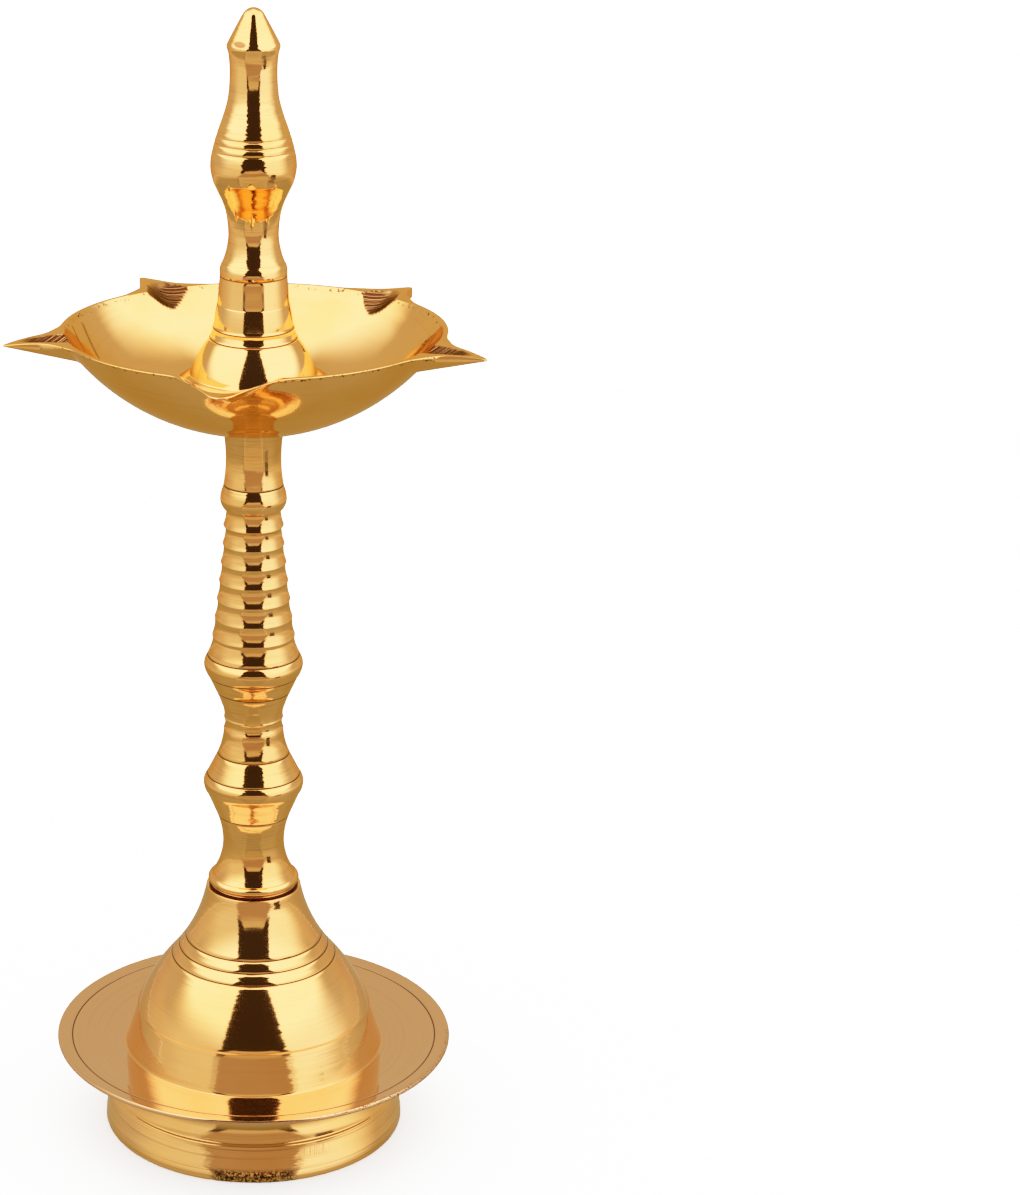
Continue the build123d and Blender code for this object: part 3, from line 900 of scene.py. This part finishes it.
def bowl_marks(s, at):
    """File cuts across the troughs, dents by the side spouts, and nicks along the bowl's edge."""
    spot = s.combine(X=s.attribute("cut"))
    cuts = s.noise(spot, Scale=STROKE_SCALE, Detail=2.0, Roughness=STROKE_ROUGHNESS)
    strokes = s.times(s.ramp(cuts, *STROKE_RAMP), s.attribute("filed"))
    nicks = s.times(s.attribute("edge"), pits(s, at, *NICK_PITS))
    dents = [file_dents(s, at, spout, side) for spout, side in SIDE_SPOUTS]
    return s.most(strokes, nicks, *dents)


def cap_marks(s, at):
    """A flat dark pit left by the casting in the front of the cap's edge."""
    centre_x, centre_z = CAP_PIT
    away = s.length(s.minus(at.x, centre_x), s.times(s.minus(at.z, centre_z), CAP_PIT_FLATNESS))
    return s.times(s.inverse(s.ramp(away, *CAP_PIT_RADIUS)), s.math("LESS_THAN", at.y, 0.0), CAP_PIT_DIRT)


# The studio: a dome of light, in metres and degrees away from the front.
WALL_RADIUS = 0.7
DOME_START = 1.3
DOME_COLUMNS = 96
DOME_ROWS = 14
LIGHT_TINT = (1.0, 0.73, 0.51)
BACK_LIGHT = (0.75, 0.7, 0.52)
BACK_LOW_LIGHT = (0.67, 0.54, 0.42)
SIDE_LIGHT = (0.72, 0.72, 0.66)
SIDE_LOW_LIGHT = (0.9, 0.82, 0.66)
BOX_LIGHT = (3.4, 3.4, 3.3)
LOW_LEFT_LIGHT = (1.25, 1.24, 1.05)
LOW_RIGHT_LIGHT = (2.5, 2.5, 2.4)
FRONT_LIGHT = (0.85, 0.78, 0.55)
FRONT_LOW_LIGHT = (0.5, 0.4, 0.3)
PANEL_LIGHT = (0.037, 0.027, 0.018)
GEAR_LIGHT = (0.06, 0.04, 0.03)
TABLE_LIGHT = (0.44, 0.45, 0.3)
TABLE_FAR_LIGHT = (0.95, 0.9, 0.7)

# Heights over which one light gives way to another, and the turns between box, side and back.
RIGHT_START = (-0.1, 0.1)
BOX_FOOT = (0.2, 0.5)
TABLE_EDGE = (0.0, 0.1)
BACK_LOW = (0.1, 0.25)
SIDE_LOW = (0.13, 0.2)
BACK_START = (100.0, 150.0)
BOX_END = (66.0, 108.0)
BOX_SPREAD = (0.3, 0.7)
BOX_SPREAD_DEG = 40.0
OVERHEAD = (1.3, 1.9)

# The dark panel and the strip of pale table top under it: half widths and their slopes.
PANEL_LOW = 0.226
PANEL_LOW_SOFT = 0.01
PANEL_HALF = 30.0
PANEL_CLIMB = 8.0
PANEL_FALL = 60.0
PANEL_EDGE = (-0.4, 0.6)
PANEL_LEAST = 0.25
PANEL_FULL = 0.75
PANEL_FADE = (0.1, 0.17)
PANEL_TOP = (1.45, 1.6)
STRIP_LOW_HALF = (41.0, 75.0)
STRIP_HIGH_HALF = (33.5, 115.0)
STRIP_HIGH_START = 0.1
STRIP_EDGE = (-0.5, 0.5)
FRONT_LOW = (0.13, 0.19)

# Dark gear that stands at the right, and two thin lines on the table.
GEAR_TURN = (47.0, 62.0, 1.0)
GEAR_TOP = (0.055, 0.065)
GEAR_REACH = (0.4, 0.41)
GEAR_RIGHT = (-0.01, 0.01)
GEAR_SHARE = 0.8
TABLE_LINE_TURN = 42.3
TABLE_LINE_HALF = (1.0, 2.0)
TABLE_LINE_REACH = (0.2, 0.5)
TABLE_LINE_SHARE = 0.6

# The table.
TABLE_FRONT_TURN = (40.0, 42.0)
TABLE_FRONT_REACH = (0.1, 0.6)
TABLE_FAR_REACH = (0.5, 0.7)
TABLE_NEAR_REACH = (0.1, 0.2)
TABLE_GLOSS_ROUGHNESS = 0.04
TABLE_POLISH = 0.95
TABLE_POLISH_IOR = 1.45
TABLE_POLISH_RAMP = (0.07, 0.22)
TABLE_IOR = 1.3
TABLE_HALF = 1.0
TABLE_DROP = 0.0002
FLOOR_HALF = 6.0
FLOOR_WHITE = (0.9, 0.9, 0.89, 1)
FLOOR_ROUGHNESS = 0.6
SKY = (1, 1, 0.995, 1)
SKY_STRENGTH = 4.2


Compass = collections.namedtuple("Compass", "turn x z out")


def compass(s):
    """Place in the studio: degrees away from the front, how far right, how high, how far out."""
    x, y, z = s.separate(s.node("ShaderNodeTexCoord").outputs["Object"])
    turn = s.math("ABSOLUTE", s.math("DEGREES", s.math("ARCTAN2", x, s.times(y, -1.0))))
    return Compass(turn, x, z, s.length(x, y))


def tinted(s, colour):
    return s.node("ShaderNodeVectorMath", {"operation": "MULTIPLY"}, i0=colour, i1=LIGHT_TINT).outputs[0]


def front_of_tent(s, at, light):
    """The tent's front: the dark panel, which comes down at both sides of the pale table top.
    The table top narrows as it rises, as a strip that runs away from the lamp does."""
    fall = s.most(s.minus(PANEL_LOW, at.z), 0.0)
    climb = s.most(s.minus(at.z, PANEL_LOW), 0.0)
    panel_half = s.plus(s.minus(PANEL_HALF, s.times(climb, PANEL_CLIMB)), s.times(fall, PANEL_FALL))
    panel = s.inverse(s.ramp(s.minus(at.turn, panel_half), *PANEL_EDGE))
    strong = s.plus(PANEL_LEAST, s.times(s.ramp(at.z, *PANEL_FADE), PANEL_FULL))
    light = s.blend(s.times(panel, strong), light, PANEL_LIGHT)
    low_half, low_slope = STRIP_LOW_HALF
    high_half, high_slope = STRIP_HIGH_HALF
    low = s.minus(low_half, s.times(at.z, low_slope))
    high = s.minus(high_half, s.times(s.minus(at.z, STRIP_HIGH_START), high_slope))
    strip = s.inverse(s.ramp(s.minus(at.turn, s.math("MINIMUM", low, high)), *STRIP_EDGE))
    strip = s.times(strip, s.inverse(s.ramp(at.z, PANEL_LOW - PANEL_LOW_SOFT, PANEL_LOW + PANEL_LOW_SOFT)))
    light = s.blend(strip, light, s.blend(s.ramp(at.z, *FRONT_LOW), FRONT_LOW_LIGHT, FRONT_LIGHT))
    return s.blend(s.times(panel, s.ramp(at.z, *PANEL_TOP)), light, BOX_LIGHT)


def tent_walls(s, at):
    """The tall soft boxes, and the dimmer walls at the sides and the back."""
    right = s.ramp(at.x, *RIGHT_START)
    box = s.blend(s.ramp(at.z, *BOX_FOOT), s.blend(right, LOW_LEFT_LIGHT, LOW_RIGHT_LIGHT), BOX_LIGHT)
    box = s.blend(s.ramp(at.z, *TABLE_EDGE), TABLE_FAR_LIGHT, box)
    back = s.blend(s.ramp(at.z, *BACK_LOW), BACK_LOW_LIGHT, BACK_LIGHT)
    side = s.blend(s.ramp(at.z, *SIDE_LOW), SIDE_LOW_LIGHT, SIDE_LIGHT)
    wall = s.blend(s.ramp(at.turn, *BACK_START), side, back)
    spread = s.times(s.ramp(at.z, *BOX_SPREAD), BOX_SPREAD_DEG)
    wall = s.blend(s.ramp(s.minus(at.turn, spread), *BOX_END), box, wall)
    wall = s.blend(s.ramp(at.z, *OVERHEAD), wall, BOX_LIGHT)
    gear = s.times(s.between(at.turn, *GEAR_TURN), s.inverse(s.ramp(at.z, *GEAR_TOP)), right)
    return s.blend(gear, wall, GEAR_LIGHT)


def light_tent():
    """Dome of light round the lamp: two tall soft boxes with a dark panel between them at the
    front, dimmer walls at the back, and everything paler overhead."""
    s = Shader("tent_light")
    at = compass(s)
    light = tinted(s, front_of_tent(s, at, tent_walls(s, at)))
    material = s.finish(s.node("ShaderNodeEmission", Color=light, Strength=1.0).outputs[0])
    mirrored_only(studio_piece("light_tent", *dome(), material))


def dome():
    """Vertices and faces of an upright cylinder with a round roof."""
    rows = [(WALL_RADIUS, 0.0), (WALL_RADIUS, DOME_START)]
    for i in range(1, DOME_ROWS):
        a = math.pi / 2 * i / DOME_ROWS
        rows.append((WALL_RADIUS * math.cos(a), DOME_START + WALL_RADIUS * math.sin(a)))
    turns = [2 * math.pi * i / DOME_COLUMNS for i in range(DOME_COLUMNS)]
    verts = [(r * math.cos(a), r * math.sin(a), z) for r, z in rows for a in turns]
    top, last = len(verts), len(verts) - DOME_COLUMNS
    verts.append((0, 0, DOME_START + WALL_RADIUS))
    faces = ring_faces(len(rows), DOME_COLUMNS)
    faces += [(last + i, last + (i + 1) % DOME_COLUMNS, top) for i in range(DOME_COLUMNS)]
    return verts, faces


def square(half, height):
    """Vertices and face of a level square."""
    corners = [(-half, -half, height), (half, -half, height), (half, half, height), (-half, half, height)]
    return corners, [(0, 1, 2, 3)]


def studio_piece(name, verts, faces, material):
    mesh = bpy.data.meshes.new(name)
    mesh.from_pydata(verts, [], faces)
    mesh.materials.append(material)
    made = bpy.data.objects.new(name, mesh)
    bpy.context.scene.collection.objects.link(made)
    return made


def mirrored_only(piece):
    """The brass mirrors the piece. The camera and the floor don't see it."""
    piece.visible_camera = False
    piece.visible_diffuse = False
    piece.visible_shadow = False


def table_colour(s, at):
    """The light the table top gives off, painted as a glow that stands in for a lit table, with its two
    thin lines and the foot of the gear at the right.
    """
    away = s.math("ABSOLUTE", s.minus(at.turn, TABLE_LINE_TURN))
    lines = s.times(s.inverse(s.ramp(away, *TABLE_LINE_HALF)), s.ramp(at.out, *TABLE_LINE_REACH))
    lines = s.times(lines, TABLE_LINE_SHARE)
    gear = s.times(s.between(at.turn, *GEAR_TURN), s.ramp(at.out, *GEAR_REACH), s.ramp(at.x, *GEAR_RIGHT))
    front = s.times(s.inverse(s.ramp(at.turn, *TABLE_FRONT_TURN)), s.ramp(at.out, *TABLE_FRONT_REACH))
    colour = s.blend(s.ramp(at.out, *TABLE_FAR_REACH), TABLE_LIGHT, TABLE_FAR_LIGHT)
    colour = s.blend(front, colour, FRONT_LIGHT)
    return s.blend(s.most(lines, s.times(gear, GEAR_SHARE)), colour, GEAR_LIGHT)


def floor():
    """Pale floor as the camera sees it. The brass doesn't mirror it, but the table instead."""
    s = Shader("floor_white")
    pale = s.node("ShaderNodeBsdfPrincipled", Roughness=FLOOR_ROUGHNESS)
    pale.inputs["Base Color"].default_value = FLOOR_WHITE
    seen = studio_piece("floor", *square(FLOOR_HALF, 0.0), s.finish(pale.outputs[0]))
    seen.visible_glossy = False


def table():
    """The dimmer table top that the brass mirrors, polished round the lamp. It glows with painted light
    instead of being lit.
    """
    s = Shader("table")
    at = compass(s)
    # The table's painted glow, mixed with its gloss.
    glow = s.node("ShaderNodeEmission", Color=tinted(s, table_colour(s, at)), Strength=1.0)
    gloss = s.node("ShaderNodeBsdfGlossy", Roughness=TABLE_GLOSS_ROUGHNESS)
    gloss.inputs["Color"].default_value = (1, 1, 1, 1)
    near = s.inverse(s.ramp(at.out, *TABLE_NEAR_REACH))
    polish = s.ramp(s.node("ShaderNodeFresnel", IOR=TABLE_POLISH_IOR).outputs[0], *TABLE_POLISH_RAMP)
    polish = s.times(polish, near, TABLE_POLISH)
    share = s.most(polish, s.node("ShaderNodeFresnel", IOR=TABLE_IOR).outputs[0])
    blend = s.node("ShaderNodeMixShader", i0=share, i1=glow.outputs[0], i2=gloss.outputs[0])
    mirrored_only(studio_piece("table", *square(TABLE_HALF, -TABLE_DROP), s.finish(blend.outputs[0])))


FILM_WHITE = 4.0
FILM_SPEED = 1.4
FILM_SHARES = (0.03, 0.07, 0.12, 0.18, 0.26, 0.36, 0.5, 0.7)
CAMERA_PLACE = (0.0, -0.89626, 0.48039)
CAMERA_DOWN_DEG = 20.218
SENSOR_WIDTH = 36.0
LENS = 110.5
LENS_SHIFT = 0.2146
CLIP = (0.01, 100.0)


def world():
    made = bpy.data.worlds.new("studio")
    bpy.context.scene.world = made
    made.use_nodes = True
    sky = made.node_tree.nodes["Background"]
    sky.inputs["Color"].default_value = SKY
    sky.inputs["Strength"].default_value = SKY_STRENGTH


def film():
    """A photograph's soft shoulder: bright light fades to white slowly, and keeps its colour."""
    view = bpy.context.scene.view_settings
    view.view_transform = "Standard"
    view.use_curve_mapping = True
    curve = view.curve_mapping
    curve.white_level = (FILM_WHITE,) * 3
    curve.extend = "HORIZONTAL"
    points = curve.curves[3].points
    for share in FILM_SHARES:
        points.new(share, 1 - math.exp(-FILM_SPEED * share * FILM_WHITE))
    points[-1].location = (1, 1)
    curve.update()


def camera():
    """Looks down at the lamp from the front, with the lamp left of the middle of the picture."""
    data = bpy.data.cameras.new("camera")
    data.sensor_width = SENSOR_WIDTH
    data.lens = LENS
    data.shift_x = LENS_SHIFT
    data.clip_start, data.clip_end = CLIP
    made = bpy.data.objects.new("camera", data)
    made.location = CAMERA_PLACE
    made.rotation_euler = (math.radians(90 - CAMERA_DOWN_DEG), 0, 0)
    bpy.context.scene.collection.objects.link(made)
    bpy.context.scene.camera = made


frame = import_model()
seats = frame_seats()

stem_skin = brass("polished_brass")
stud_skin = brass("stud_brass", tint=STUD_BRASS, rough=0.2, chatter=0.03)
make_base(brass("base_brass", edge=PALE_EDGE, chatter=0.11, rings=0.2, marks=foot_marks, worn=plate_top))
make_lower_stem(stem_skin)
make_upper_stem(stem_skin)
make_finial(brass("finial_brass", chatter=0.2, marks=cap_marks))
make_oil_bowl(brass("bowl_brass", chatter=0.04, rings=0.15, marks=bowl_marks))
for stud in STUDS:
    node = frame["nodes"][stud]
    node.data.materials.clear()
    node.data.materials.append(stud_skin)

world()
light_tent()
floor()
table()
camera()
film()
